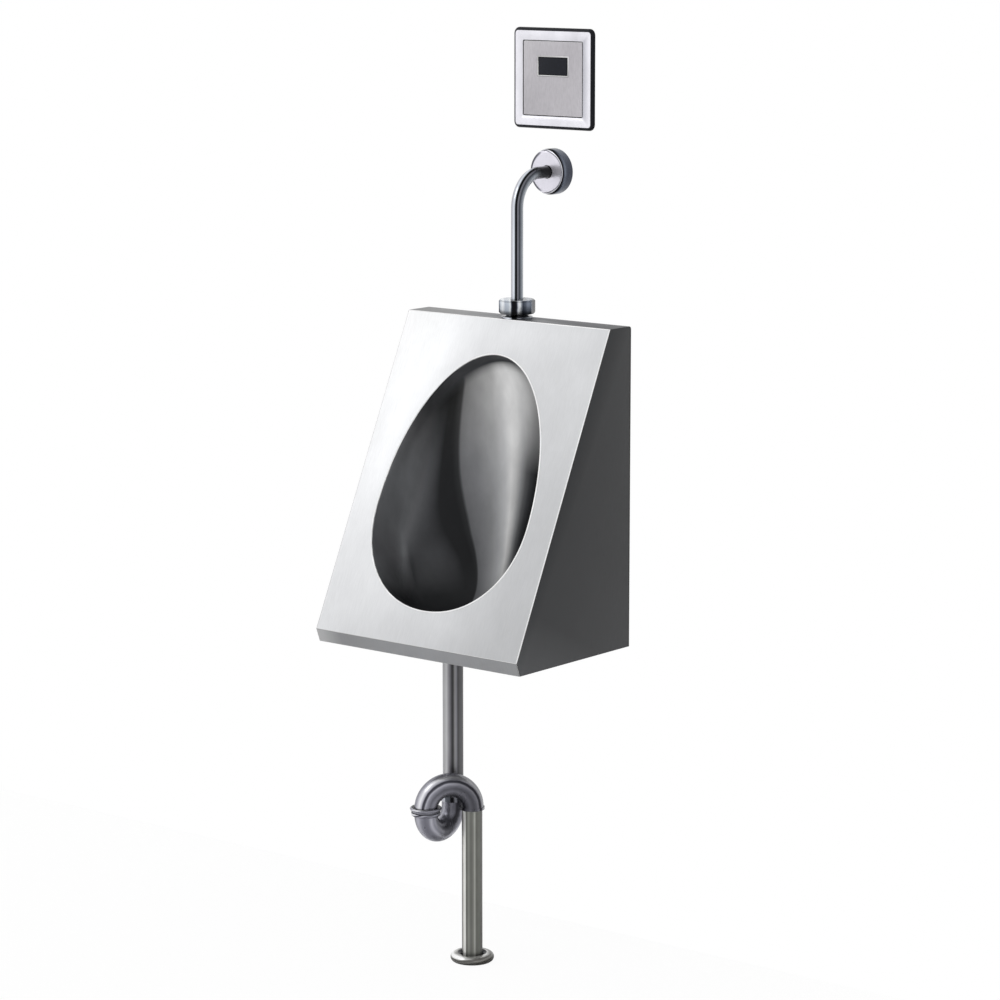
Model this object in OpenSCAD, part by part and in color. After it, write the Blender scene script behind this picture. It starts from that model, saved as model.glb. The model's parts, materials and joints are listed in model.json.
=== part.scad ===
/* [Cabinet] */
// Width of the sheet steel cabinet
cab_w = 400; // [360:5:460]
// Height of the cabinet
cab_h = 500; // [460:5:560]
// Depth of the cabinet along its top
top_d = 54; // [48:1:70]
// Depth of the cabinet at the rim of its sloping front
rim_d = 280; // [260:5:320]
// Depth of the cabinet along its underside
base_d = 272; // [250:5:310]
// Height of the folded lip under the sloping front
lip_h = 21; // [14:1:30]
// Thickness of the cabinet's steel sheet
sheet = 1.5; // [1:0.1:2.5]
// Width of the return flange round the open back
flange_w = 15; // [10:1:25]
// Distance from the finished wall to the back of the cabinet
standoff = 65; // [60:1:80]

/* [Bowl] */
// Width of the front beside the egg opening
egg_side = 50; // [40:1:70]
// Height of the front above the egg opening, along the slope
egg_high = 58.6; // [50:0.1:70]
// Height of the front below the egg opening, along the slope
egg_low = 56; // [45:1:65]
// Reach of the egg below its widest place
egg_down = 154; // [130:1:170]
// Fullness of the lower half of the egg, where 2 is an ellipse
egg_full = 2.1; // [2:0.05:2.4]
// Thickness of the pressed bowl
bowl_wall = 1.5; // [1:0.1:2.5]
// Depth of the straight collar inside the opening
collar_d = 18; // [10:1:25]
// Width of the bowl's flange behind the front panel
bowl_flange = 10; // [6:1:14]
// Distance from the cabinet's back to the bowl's back wall
bowl_gap = 36; // [34:1:44]
// Height of the drain seat above the underside of the cabinet
seat_z = 46; // [42:1:56]
// Radius of the flat drain seat
seat_r = 32; // [31:1:40]

/* [Waste] */
// Distance of the drain in front of the cabinet's back
drain_d = 187; // [175:1:200]
// Outer radius of the drain pipes
pipe_r = 16; // [14:0.5:20]
// Wall of the drain pipes
pipe_wall = 1.2; // [1:0.1:2]
// Drop from the underside of the cabinet to the trap's joint
trap_drop = 242; // [200:5:300]
// Outer radius of the cast trap
trap_r = 18; // [17.5:0.5:21]
// Distance of the trap's middle leg in front of its inlet
trap_reach = 66; // [60:1:80]
// Sideways offset of the floor pipe from the drain
floor_x = 43; // [42:1:60]
// Distance of the floor pipe in front of the drain
floor_ahead = 6; // [0:1:12]
// Height of the underside of the cabinet above the floor
floor_drop = 490; // [440:5:560]
// Length of the floor pipe below the floor
floor_spigot = 30; // [20:5:60]

/* [Flush pipe] */
// Outer radius of the flush pipe
flush_r = 9.5; // [8:0.5:12]
// Wall of the flush pipe
flush_wall = 1; // [0.8:0.1:1.5]
// Distance of the inlet in front of the cabinet's back
inlet_d = 29; // [27:1:32]
// Height of the wall outlet above the top of the cabinet
outlet_rise = 222; // [180:5:280]
// Radius of the bend of the flush pipe
bend_r = 52; // [40:1:60]
// Outer radius of the wall flange
rose_r = 36; // [30:1:45]
// Depth of the wall flange
rose_d = 20; // [12:1:24]

/* [Sensor] */
// Width of the sensor plate
plate_w = 148; // [140:1:170]
// Height of the sensor plate
plate_h = 147; // [140:1:170]
// Thickness of the sensor plate
plate_t = 6; // [5:0.5:10]
// Width of the polished border of the plate
border_w = 16; // [12:1:20]
// Height of the centre of the plate above the top of the cabinet
plate_rise = 366; // [350:5:420]
// Width of the sensor window
window_w = 58; // [40:1:70]
// Height of the sensor window
window_h = 28; // [20:1:34]
// Height of the window above the centre of the plate
window_up = 19; // [10:1:24]
// Depth of the box in the wall
box_d = 72; // [66:1:90]

/* [Hidden] */
$fn = 48;
eps = 0.5;
gap = 0.3;
fit = 0.1;
hang_drop = 70;
hang_z = cab_h - hang_drop;
back_y = -standoff;
top_z = cab_h;

// Slope of the front, and of the lip under it, away from the vertical
slope = atan2(rim_d - top_d, cab_h - lip_h);
lean = atan2(rim_d - base_d, lip_h);
slope_t = sheet / cos(slope);
lean_t = sheet / cos(lean);
rim_y = back_y - rim_d;
fold_z = (top_d - base_d + cab_h * tan(slope) + lean_t - slope_t) / (tan(slope) + tan(lean));
fold_y = back_y - base_d + lean_t - fold_z * tan(lean);

// The egg fills what the clear bands leave of the front
front_l = norm([rim_d - top_d, cab_h - lip_h]);
egg_half_w = cab_w / 2 - egg_side;
egg_mid = egg_low + egg_down;
egg_up = front_l - egg_high - egg_mid;

// Grid of the bowl, and the columns where its four walls meet
egg_n = 48;
path_n = 14;
top_i = egg_n / 4;
slot_j = 3;
right_i = 7;
left_i = 17;
low_left_i = 32;
low_right_i = 40;
bowl_back = back_y - bowl_gap;
drain_y = back_y - drain_d;
stem_r = pipe_r + 1.4 * pipe_wall;
seat_hole = stem_r + gap;

// Spud and flush pipe
inlet_y = back_y - inlet_d;
outlet_z = top_z + outlet_rise;
spud_r = 15;
spud_bore = 8.5;
spud_flange_r = 24.3;
spud_flange_t = 3;
spud_neck = 4;
spud_top = 16;
spud_drop = 24;
nut_r = 28.5;
nut_t = 22;
nut_lip = 4;
nut_chamfer = 2.2;
locknut_r = 21;
locknut_t = 7;
washer_t = 2;
wall_reach = 26;

// Trap
bend_drop = 6;
joint_z = -trap_drop;
trap_bore = pipe_r + gap;
middle = [0, drain_y - trap_reach];
outlet = [floor_x, drain_y - floor_ahead];
arch_r = norm(outlet - middle) / 2;
arch_turn = atan2(outlet[1] - middle[1], outlet[0] - middle[0]);
ubend_r = trap_reach / 2;
socket_h = 16;
inlet_nut_r = 21;
inlet_nut_t = 16;
joint_ring_r = 22.3;
joint_ring_t = 13;
bead_r = trap_r + 1.5;

// In the wall
plate_z = top_z + plate_rise;
valve_y = 35;
valve_z = plate_z - 32;
valve_r = 14;
box_w = plate_w - 18;
box_h = plate_h - 17;
box_t = 2.5;
coil_h = 34;
coil_r = 13;
core_r = 4.5;
elbow_r = 13;

function sgn_pow(v, p) = sign(v) * pow(abs(v), p);
function egg(i, grow = 0) =
  let (t = 360 * i / egg_n, up = sin(t) >= 0, p = up ? 1 : 2 / egg_full)
  [
    (egg_half_w + grow) * sgn_pow(cos(t), p),
    egg_mid + ((up ? egg_up : egg_down) + grow) * sgn_pow(sin(t), p)
  ];

// A place on the front, given across it, up its slope and out of it
function on_slope(p, out) = [
  p[0],
  rim_y + p[1] * sin(slope) - out * cos(slope),
  lip_h + p[1] * cos(slope) + out * sin(slope)
];
function bez(a, b, c, d, t) =
  pow(1 - t, 3) * a + 3 * pow(1 - t, 2) * t * b + 3 * (1 - t) * t * t * c + t * t * t * d;

// How far each path round the bowl runs back before it turns down to the drain
top_share = 1.25;
back_share = 0.78;
side_share = 0.62;
front_share = 0.05;
sump_share = 0.5;
function run_back(i) =
  let (
    s = sin(360 * i / egg_n),
    p = on_slope(egg(i), -collar_d),
    change = s >= 0 ? top_share - side_share : side_share - front_share
  )
  (bowl_back - p[1]) * (side_share + change * s);
function bowl_path(i) =
  let (
    t = 360 * i / egg_n,
    s = sin(t),
    a = on_slope(egg(i), -collar_d),
    k = run_back(i),
    b = a + [0, k, -k * tan(slope) * (s > 0 ? 1 - back_share * s : 1)],
    d = [seat_r * cos(t), drain_y + seat_r * s, seat_z],
    reach = (s > 0 ? bowl_back - drain_y : seat_r * front_share * 4) * s,
    c = d + [sump_share * (a[0] - d[0]), reach, (seat_r / 4) * (1 + max(s, 0))]
  )
  [for (j = [0 : path_n]) bez(a, b, c, d, j / path_n)];

module across(w) {
  rotate([90, 0, 90]) linear_extrude(w, center = true) children();
}

module on_front(depth) {
  translate([0, rim_y, lip_h]) rotate([90 - slope, 0, 0])
    translate([0, 0, -depth]) linear_extrude(2 * depth) children();
}

module placed() {
  translate([0, 0, -hang_z]) children();
}

module tube(r, wall, h) {
  difference() {
    cylinder(r = r, h = h);
    translate([0, 0, -eps]) cylinder(r = r - wall, h = h + 2 * eps);
  }
}

module ring(r_out, r_in, h) {
  tube(r_out, r_out - r_in, h);
}

// A cylinder that runs away from the wall from a place on it
module outward(r, h) {
  rotate([90, 0, 0]) cylinder(r = r, h = h);
}

module faceted_nut(r, sides, h, chamfer) {
  intersection() {
    cylinder(r = r, h = h, $fn = sides);
    rotate_extrude() polygon([
      [0, 0], [r - chamfer, 0], [r, chamfer], [r, h - chamfer], [r - chamfer, h], [0, h]
    ]);
  }
}

/* Cabinet */
module cabinet_shell() {
  inner_w = cab_w - 2 * sheet;
  color("silver") placed() difference() {
    union() {
      difference() {
        across(cab_w) polygon([
          [back_y, 0], [back_y, cab_h], [back_y - top_d + slope_t, cab_h],
          [fold_y, fold_z], [back_y - base_d + lean_t, 0]
        ]);
        translate([-inner_w / 2, back_y - 2 * rim_d, sheet])
          cube([inner_w, 3 * rim_d, cab_h - 2 * sheet]);
      }
      difference() {
        translate([-cab_w / 2, back_y - sheet, 0]) cube([cab_w, sheet, cab_h]);
        translate([-cab_w / 2 + flange_w, back_y - 2 * sheet, flange_w])
          cube([cab_w - 2 * flange_w, 3 * sheet, cab_h - 2 * flange_w]);
      }
    }
    translate([0, inlet_y, cab_h - 2 * sheet]) cylinder(r = spud_r + gap, h = 3 * sheet);
    translate([0, drain_y, -sheet]) cylinder(r = pipe_r + gap, h = 3 * sheet);
  }
}

module front_panel() {
  color("gainsboro") placed() difference() {
    across(cab_w) polygon([
      [back_y - top_d, cab_h], [rim_y, lip_h], [back_y - base_d, 0],
      [back_y - base_d + lean_t, 0], [fold_y, fold_z], [back_y - top_d + slope_t, cab_h]
    ]);
    on_front(4 * sheet) polygon([for (i = [0 : egg_n - 1]) egg(i)]);
  }
}

function unit(v) = v / norm(v);
bowl_rows = path_n + 4;

// The inner face of the bowl down one column of the grid, from its flange to the seat's hole
function inner_column(i) = concat(
  [on_slope(egg(i, bowl_flange), -sheet), on_slope(egg(i), -sheet)],
  bowl_path(i),
  [[seat_hole * cos(360 * i / egg_n), drain_y + seat_hole * sin(360 * i / egg_n), seat_z]]
);

// The outer face, one wall thickness behind it
function outer_column(i) =
  let (before = inner_column(i - 1), here = inner_column(i), after = inner_column(i + 1))
  [for (j = [0 : bowl_rows - 1])
    let (away = j > 2 && j < bowl_rows - 2
      ? unit(cross(here[j + 1] - here[j - 1], after[j] - before[j]))
      : [0, 0, -1])
    j == 0 ? on_slope(egg(i, bowl_flange), -sheet - bowl_wall)
    : j == 1 ? on_slope(egg(i, bowl_wall), -sheet - bowl_wall)
    : j == 2 ? on_slope(egg(i, bowl_wall), -collar_d)
    : here[j] + bowl_wall * away
  ];

// One wall of the bowl, between two columns of its grid
module bowl_wall_part(first, last, slot_i = -1) {
  n = last - first;
  points = concat(
    [for (i = [first : last]) each inner_column(i)],
    [for (i = [first : last]) each outer_column(i)]
  );
  half = (n + 1) * bowl_rows;
  function at(i, j) = i * bowl_rows + j;
  // The slot for the spray nozzle takes two cells of the grid
  slot = slot_i < 0 ? [] : [
    at(slot_i, slot_j), at(slot_i, slot_j + 1), at(slot_i + 1, slot_j + 1),
    at(slot_i + 2, slot_j + 1), at(slot_i + 2, slot_j), at(slot_i + 1, slot_j)
  ];
  polyhedron(points, concat(
    [for (i = [0 : n - 1], j = [0 : bowl_rows - 2])
      if (slot_i < 0 || j != slot_j || (i != slot_i && i != slot_i + 1)) each [
      [at(i, j), at(i, j + 1), at(i + 1, j + 1)],
      [at(i, j), at(i + 1, j + 1), at(i + 1, j)],
      [half + at(i, j), half + at(i + 1, j + 1), half + at(i, j + 1)],
      [half + at(i, j), half + at(i + 1, j), half + at(i + 1, j + 1)]
    ]],
    [for (i = [0 : n - 1], j = [bowl_rows - 1]) each [
      [at(i, 0), at(i + 1, 0), half + at(i + 1, 0)],
      [at(i, 0), half + at(i + 1, 0), half + at(i, 0)],
      [at(i, j), half + at(i + 1, j), at(i + 1, j)],
      [at(i, j), half + at(i, j), half + at(i + 1, j)]
    ]],
    [for (j = [0 : bowl_rows - 2]) each [
      [at(0, j + 1), at(0, j), half + at(0, j)],
      [at(0, j + 1), half + at(0, j), half + at(0, j + 1)],
      [at(n, j), at(n, j + 1), half + at(n, j)],
      [at(n, j + 1), half + at(n, j + 1), half + at(n, j)]
    ]],
    [for (k = [0 : 1 : len(slot) - 1]) let (a = slot[k], b = slot[(k + 1) % len(slot)]) each [
      [a, b, half + b], [a, half + b, half + a]
    ]]
  ), convexity = 6);
}

module bowl_back() {
  color("darkgray") placed() bowl_wall_part(right_i, left_i, top_i - right_i - 1);
}

module bowl_left() {
  color("darkgray") placed() bowl_wall_part(left_i, low_left_i);
}

module bowl_right() {
  color("darkgray") placed() bowl_wall_part(low_right_i, right_i + egg_n);
}

module bowl_front() {
  color("darkgray") placed() bowl_wall_part(low_left_i, low_right_i);
}

/* Wall fixing */
rail_w = 220;
rail_t = 2;
rail_top = cab_h - flange_w;
hook_low = 40;
hook_top = cab_h - hook_low;
hook_drop = 30;
hook_out = 7;
hanger_w = 240;
hanger_t = 3;
hanger_h = 60;
anchor_x = 90;
anchor_r = 5;
anchor_l = 50;
thread_r = 4;
module hook_rail() {
  root_y = back_y + hook_out;
  color("silver") placed() across(rail_w) polygon([
    [back_y, rail_top], [back_y + rail_t, rail_top], [back_y + rail_t, hook_top + rail_t],
    [root_y + rail_t, hook_top + rail_t], [root_y + rail_t, hook_top - hook_drop],
    [root_y, hook_top - hook_drop], [root_y, hook_top], [back_y, hook_top]
  ]);
}

module wall_hanger() {
  low = hook_top - hanger_h;
  lip_y = back_y + (hook_out - hanger_t) / 2;
  color("darkgray") placed() difference() {
    union() {
      across(hanger_w) polygon([
        [0, low], [0, hook_top], [-hanger_t, hook_top], [-hanger_t, low + hanger_t],
        [lip_y + hanger_t, low + hanger_t], [lip_y + hanger_t, hook_top],
        [lip_y, hook_top], [lip_y, low]
      ]);
      for (side = [-1, 1])
        translate([side * (hanger_w - hanger_t) / 2, 0, 0])
          across(hanger_t) polygon([
            [-hanger_t, low], [-hanger_t, hook_top - hook_drop - hanger_t],
            [lip_y + hanger_t, hook_top - hook_drop - hanger_t], [lip_y + hanger_t, low]
          ]);
    }
    for (side = [-1, 1])
      translate([side * anchor_x, eps, hang_z]) outward(thread_r + gap, hanger_t + 2 * eps);
  }
}

anchor_nut_t = 1.6 * thread_r;
module anchor_nuts() {
  color("silver") for (side = [-1, 1])
    translate([side * anchor_x, -hanger_t, 0]) rotate([90, 0, 0]) difference() {
      faceted_nut(2 * thread_r, 6, anchor_nut_t, anchor_nut_t / 8);
      translate([0, 0, -eps]) cylinder(r = thread_r + fit, h = anchor_nut_t + 2 * eps);
    }
}

module wall_anchors() {
  color("gray") for (side = [-1, 1]) {
    translate([side * anchor_x, anchor_l, 0]) outward(anchor_r, anchor_l);
    translate([side * anchor_x, gap, 0]) outward(thread_r, gap + hanger_t + anchor_nut_t + rail_t);
  }
}

spacer_x = 120;
spacer_w = 24;
spacer_z = spacer_w / 2;
pad_r = 11;
pad_t = 8;
module spacer_brackets() {
  color("silver") placed() for (side = [-1, 1])
    translate([side * spacer_x - spacer_w / 2, back_y, spacer_z - spacer_w / 2]) difference() {
      cube([spacer_w, standoff - pad_t, spacer_w]);
      translate([rail_t, rail_t, -eps])
        cube([spacer_w - 2 * rail_t, standoff - pad_t - 2 * rail_t, spacer_w + 2 * eps]);
    }
}

module bumper_pads() {
  color("black") placed() for (side = [-1, 1])
    translate([side * spacer_x, 0, spacer_z]) outward(pad_r, pad_t);
}

/* Inlet and flush pipe */
module inlet_spud() {
  color("silver") placed() translate([0, inlet_y, top_z]) difference() {
    rotate_extrude() polygon([
      [0, -spud_drop], [spud_r, -spud_drop], [spud_r, 0], [spud_flange_r, 0],
      [spud_flange_r, spud_flange_t], [spud_r + spud_neck, spud_flange_t],
      [spud_r, spud_flange_t + spud_neck], [spud_r, spud_top], [0, spud_top]
    ]);
    translate([0, 0, -spud_drop - eps]) cylinder(r = spud_bore, h = spud_drop + spud_top + 2 * eps);
    translate([0, 0, spud_top - nut_lip]) cylinder(r = flush_r + fit, h = nut_lip + eps);
  }
}

module spud_washer() {
  color("black") placed() translate([0, inlet_y, top_z - sheet - washer_t])
    ring(locknut_r, spud_r + fit, washer_t);
}

module spud_locknut() {
  color("goldenrod") placed() translate([0, inlet_y, top_z - sheet - washer_t - locknut_t])
    difference() {
      faceted_nut(locknut_r, 6, locknut_t, locknut_t / 8);
      translate([0, 0, -eps]) cylinder(r = spud_r + fit, h = locknut_t + 2 * eps);
    }
}

nut_z = top_z + spud_flange_t + spud_neck + gap;
module spud_nut() {
  color("whitesmoke") placed() translate([0, inlet_y, nut_z]) difference() {
    faceted_nut(nut_r, 8, nut_t, nut_chamfer);
    translate([0, 0, -eps]) cylinder(r = spud_r + gap, h = nut_t - nut_lip + eps);
    cylinder(r = flush_r + gap, h = nut_t + eps);
  }
}

module spud_seal() {
  low = top_z + spud_top;
  color("black") placed() translate([0, inlet_y, low])
    ring(spud_r - gap, flush_r + fit, nut_z + nut_t - nut_lip - gap - low);
}

nozzle_r = 7;
nozzle_bend = 14;
nozzle_out = 30;
nozzle_z = (bowl_path(top_i)[slot_j - 2][2] + bowl_path(top_i)[slot_j - 1][2]) / 2;
module spreader_pipe() {
  socket_l = 10;
  color("silver") placed() {
    translate([0, inlet_y, nozzle_z + nozzle_bend])
      tube(nozzle_r, flush_wall, top_z - spud_drop + socket_l - nozzle_z - nozzle_bend);
    translate([0, inlet_y - nozzle_bend, nozzle_z + nozzle_bend]) rotate([90, 90, 90])
      rotate_extrude(angle = 90) translate([nozzle_bend, 0]) difference() {
        circle(nozzle_r);
        circle(nozzle_r - flush_wall);
      }
    translate([0, inlet_y - nozzle_bend, nozzle_z]) rotate([90, 0, 0])
      tube(nozzle_r, flush_wall, nozzle_out - nozzle_bend);
  }
}

module flush_pipe() {
  color("whitesmoke") placed() {
    translate([0, inlet_y, top_z + spud_top - nut_lip])
      tube(flush_r, flush_wall, outlet_z - bend_r - top_z - spud_top + nut_lip);
    translate([0, inlet_y + bend_r, outlet_z - bend_r]) rotate([90, 0, -90])
      rotate_extrude(angle = 90) translate([bend_r, 0]) difference() {
        circle(flush_r);
        circle(flush_r - flush_wall);
      }
    translate([0, wall_reach, outlet_z]) rotate([90, 0, 0])
      tube(flush_r, flush_wall, wall_reach - inlet_y - bend_r);
  }
}

module wall_flange() {
  round_r = rose_d / 4;
  color("whitesmoke") placed() translate([0, 0, outlet_z]) rotate([90, 0, 0]) difference() {
    union() {
      cylinder(r = rose_r, h = rose_d - round_r);
      cylinder(r = rose_r - round_r, h = rose_d);
      translate([0, 0, rose_d - round_r]) rotate_extrude() translate([rose_r - round_r, 0])
        circle(round_r);
    }
    translate([0, 0, -eps]) cylinder(r = rose_r - sheet, h = rose_d - round_r + eps);
    translate([0, 0, -eps]) cylinder(r = rose_r - round_r - sheet, h = rose_d - sheet + eps);
    cylinder(r = flush_r + gap, h = rose_d + eps);
  }
}

/* In the wall */
elbow_y = valve_y;
module wall_elbow() {
  cup_l = 16;
  socket = flush_r + fit;
  color("goldenrod") placed() difference() {
    union() {
      translate([0, elbow_y, outlet_z]) sphere(elbow_r);
      translate([0, elbow_y, outlet_z]) outward(elbow_r, elbow_y - gap - rail_t);
      translate([0, elbow_y, outlet_z]) cylinder(r = elbow_r, h = elbow_r + cup_l);
    }
    translate([0, wall_reach, outlet_z]) outward(socket, elbow_y);
    translate([0, elbow_y, outlet_z]) outward(flush_r - flush_wall, elbow_y);
    translate([0, elbow_y, outlet_z]) sphere(flush_r - flush_wall);
    translate([0, elbow_y, outlet_z]) cylinder(r = flush_r - flush_wall, h = elbow_r + cup_l + eps);
    translate([0, elbow_y, outlet_z + elbow_r]) cylinder(r = socket, h = cup_l + eps);
  }
}

valve_foot = 24;
module riser_pipe() {
  low = outlet_z + elbow_r;
  color("goldenrod") placed() translate([0, elbow_y, low])
    tube(flush_r, flush_wall, valve_z - valve_foot + valve_r / 2 - low);
}

stop_x = -44;
supply_x = -box_w / 2 - 18;
supply_r = 10.4;
seat_x = 6;
module valve_body() {
  color("goldenrod") placed() translate([0, valve_y, valve_z]) difference() {
    union() {
      translate([supply_x + valve_r, 0, 0]) rotate([0, 90, 0])
        cylinder(r = valve_r, h = 2 * valve_r - supply_x - valve_r);
      translate([supply_x, 0, 0]) rotate([0, 90, 0]) cylinder(r = supply_r, h = 2 * valve_r);
      translate([0, 0, -valve_foot]) cylinder(r = valve_r, h = valve_foot);
      cylinder(r = valve_r + rail_t, h = valve_r + rail_t);
      translate([stop_x, 0, 0]) outward(valve_r - rail_t, valve_r + 2 * rail_t);
    }
    translate([supply_x - eps, 0, 0]) rotate([0, 90, 0])
      cylinder(r = core_r + rail_t, h = -supply_x + eps);
    translate([0, 0, -valve_foot - eps]) cylinder(r = flush_r + fit, h = valve_r / 2 + eps);
    translate([0, 0, -valve_foot]) cylinder(r = core_r + rail_t, h = valve_foot + valve_r + gap);
    translate([0, 0, valve_r - rail_t]) cylinder(r = valve_r - rail_t, h = 3 * rail_t);
    translate([stop_x, 0, 0]) outward(core_r + fit, valve_r + 3 * rail_t);
  }
}

module inlet_filter() {
  color("whitesmoke") placed() translate([supply_x + rail_t, valve_y, valve_z]) rotate([0, 90, 0])
    ring(core_r + rail_t - fit, core_r, 2 * valve_r);
}

module valve_diaphragm() {
  color("black") placed() translate([0, valve_y, valve_z + valve_r - rail_t])
    cylinder(r = valve_r - rail_t - fit, h = rail_t);
}

coil_z = valve_z + valve_r + rail_t;
guide_r = core_r + gap;
module solenoid_coil() {
  color("dimgray") placed() translate([0, valve_y, coil_z]) difference() {
    union() {
      cylinder(r = coil_r, h = coil_h);
      cylinder(r = valve_r + rail_t, h = rail_t);
    }
    translate([0, 0, -eps]) cylinder(r = guide_r, h = coil_h - 2 * rail_t + eps);
  }
}

plunger_l = 20;
plunger_lift = 3;
module solenoid_plunger() {
  color("silver") placed() translate([0, valve_y, coil_z - rail_t + gap])
    cylinder(r = core_r, h = plunger_l);
}

module plunger_spring() {
  low = coil_z - rail_t + gap + plunger_l;
  color("silver") placed() translate([0, valve_y, low])
    ring(core_r, core_r - rail_t / 2, coil_z + coil_h - 2 * rail_t - low);
}

module stop_spindle() {
  slot = 1.6;
  color("goldenrod") placed() translate([stop_x, valve_y, valve_z]) difference() {
    union() {
      translate([0, -rail_t, 0]) outward(core_r, valve_r + 3 * rail_t);
      translate([0, -valve_r - 2 * rail_t - gap, 0]) outward(valve_r / 2, 2 * rail_t);
    }
    translate([-valve_r, -valve_r - 4 * rail_t - 2 * gap, -slot / 2])
      cube([2 * valve_r, rail_t, slot]);
  }
}

box_y = gap;
module concealed_box() {
  color("dimgray") placed() translate([0, box_y, plate_z]) difference() {
    translate([-box_w / 2, 0, -box_h / 2]) cube([box_w, box_d, box_h]);
    translate([-box_w / 2 + box_t, -eps, -box_h / 2 + box_t])
      cube([box_w - 2 * box_t, box_d - box_t + eps, box_h - 2 * box_t]);
    translate([-box_w, valve_y - box_y, valve_z - plate_z]) rotate([0, 90, 0])
      cylinder(r = valve_r + gap, h = box_w);
    translate([0, valve_y - box_y, -box_h / 2 - eps]) cylinder(r = valve_r + gap, h = box_t + 2 * eps);
  }
}

cell_r = 7;
cell_l = 50;
case_t = 1.5;
case_x = 24;
module battery_case() {
  w = 4 * cell_r + 3 * case_t;
  color("black") placed() translate([case_x, box_y + box_d - box_t - 2 * cell_r - 2 * case_t, plate_z])
    difference() {
      cube([w, 2 * cell_r + 2 * case_t, cell_l + 2 * case_t]);
      for (k = [0, 1])
        translate([case_t + k * (2 * cell_r + case_t), -eps, case_t])
          cube([2 * cell_r, 2 * cell_r + case_t + eps, cell_l]);
    }
}

module batteries() {
  nub_r = cell_r / 3;
  color("olive") placed() for (k = [0, 1])
    translate([
      case_x + case_t + cell_r + k * (2 * cell_r + case_t),
      box_y + box_d - box_t - case_t - cell_r,
      plate_z + case_t
    ]) {
      cylinder(r = cell_r - fit, h = cell_l - nub_r);
      cylinder(r = nub_r, h = cell_l);
    }
}

module_d = 16;
module sensor_module() {
  eye_r = 5;
  low_z = plate_z + window_up - window_h / 2 - case_t;
  color("black") placed() difference() {
    union() {
      translate([-window_w / 2, gap, low_z]) cube([window_w, module_d, window_h + 2 * case_t]);
      translate([-box_w / 2 + box_t, module_d / 2, low_z])
        cube([box_w - 2 * box_t, module_d / 2 + gap, 2 * box_t]);
    }
    for (side = [-1, 1])
      translate([side * window_w / 4, module_d / 2, plate_z + window_up]) outward(eye_r, module_d);
  }
}

/* Sensor plate */
module plate_frame() {
  inner_w = plate_w - 2 * border_w;
  inner_h = plate_h - 2 * border_w;
  color("whitesmoke") placed() translate([0, 0, plate_z]) difference() {
    translate([-plate_w / 2, -plate_t, -plate_h / 2]) cube([plate_w, plate_t - fit, plate_h]);
    translate([-inner_w / 2, -plate_t - eps, -inner_h / 2]) cube([inner_w, rail_t + eps, inner_h]);
    translate([-inner_w / 2 + box_t, -plate_t, -inner_h / 2 + box_t])
      cube([inner_w - 2 * box_t, plate_t + eps, inner_h - 2 * box_t]);
  }
}

module plate_face() {
  inner_w = plate_w - 2 * border_w - 2 * gap;
  inner_h = plate_h - 2 * border_w - 2 * gap;
  open_w = window_w + 2 * rail_t;
  open_h = window_h + 2 * rail_t;
  color("lightgray") placed() translate([0, 0, plate_z]) difference() {
    translate([-inner_w / 2, -plate_t, -inner_h / 2]) cube([inner_w, rail_t, inner_h]);
    translate([-open_w / 2, -plate_t - eps, window_up - open_h / 2])
      cube([open_w, rail_t + 2 * eps, open_h]);
  }
}

module window_bezel() {
  open_w = window_w + 2 * rail_t;
  open_h = window_h + 2 * rail_t;
  color("gray") placed() translate([0, -plate_t, plate_z + window_up]) difference() {
    translate([-open_w / 2, 0, -open_h / 2]) cube([open_w, plate_t / 2, open_h]);
    translate([-window_w / 2, -eps, -window_h / 2]) cube([window_w, plate_t, window_h]);
  }
}

module sensor_window() {
  color("midnightblue") placed()
    translate([-window_w / 2, -plate_t + gap, plate_z + window_up - window_h / 2])
      cube([window_w, plate_t / 2 - gap, window_h]);
}

/* Waste */
cup_t = 2;
strainer_r = 20;
module drain_strainer() {
  holes = 8;
  hole_r = 2.6;
  color("gainsboro") placed() translate([0, drain_y, seat_z + cup_t]) difference() {
    rotate_extrude() polygon([
      [0, 0], [strainer_r, 0], [strainer_r, cup_t / 2], [strainer_r * 0.85, cup_t * 1.2],
      [strainer_r * 0.5, cup_t * 1.75], [0, 2 * cup_t]
    ]);
    for (k = [1 : holes]) rotate([0, 0, 360 * k / holes])
      translate([strainer_r * 0.62, 0, -eps]) cylinder(r = hole_r, h = 2 * cup_t + 2 * eps);
  }
}

module waste_body() {
  flange_r = seat_r - cup_t;
  stem_low = seat_z - 36;
  color("silver") placed() translate([0, drain_y, 0]) difference() {
    union() {
      translate([0, 0, seat_z]) cylinder(r = flange_r, h = cup_t);
      translate([0, 0, stem_low]) cylinder(r = stem_r, h = seat_z - stem_low + fit);
    }
    translate([0, 0, stem_low - eps]) cylinder(r = pipe_r + fit, h = seat_z - stem_low);
    translate([0, 0, stem_low]) cylinder(r = pipe_r - pipe_wall, h = seat_z - stem_low + 2 * cup_t);
  }
}

module waste_gasket() {
  color("black") placed() translate([0, drain_y, seat_z - bowl_wall - washer_t])
    ring(seat_r - cup_t, stem_r + fit, washer_t);
}

module waste_locknut() {
  color("goldenrod") placed() translate([0, drain_y, seat_z - bowl_wall - washer_t - locknut_t])
    difference() {
      faceted_nut(seat_r - cup_t, 6, locknut_t, locknut_t / 8);
      translate([0, 0, -eps]) cylinder(r = stem_r + fit, h = locknut_t + 2 * eps);
    }
}

ubend_z = joint_z - bend_drop;
socket_top = ubend_z + socket_h;
module drain_pipe() {
  low = ubend_z + 3 * rail_t;
  color("silver") placed() translate([0, drain_y, low]) tube(pipe_r, pipe_wall, seat_z - 2 * eps - low);
}

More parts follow.
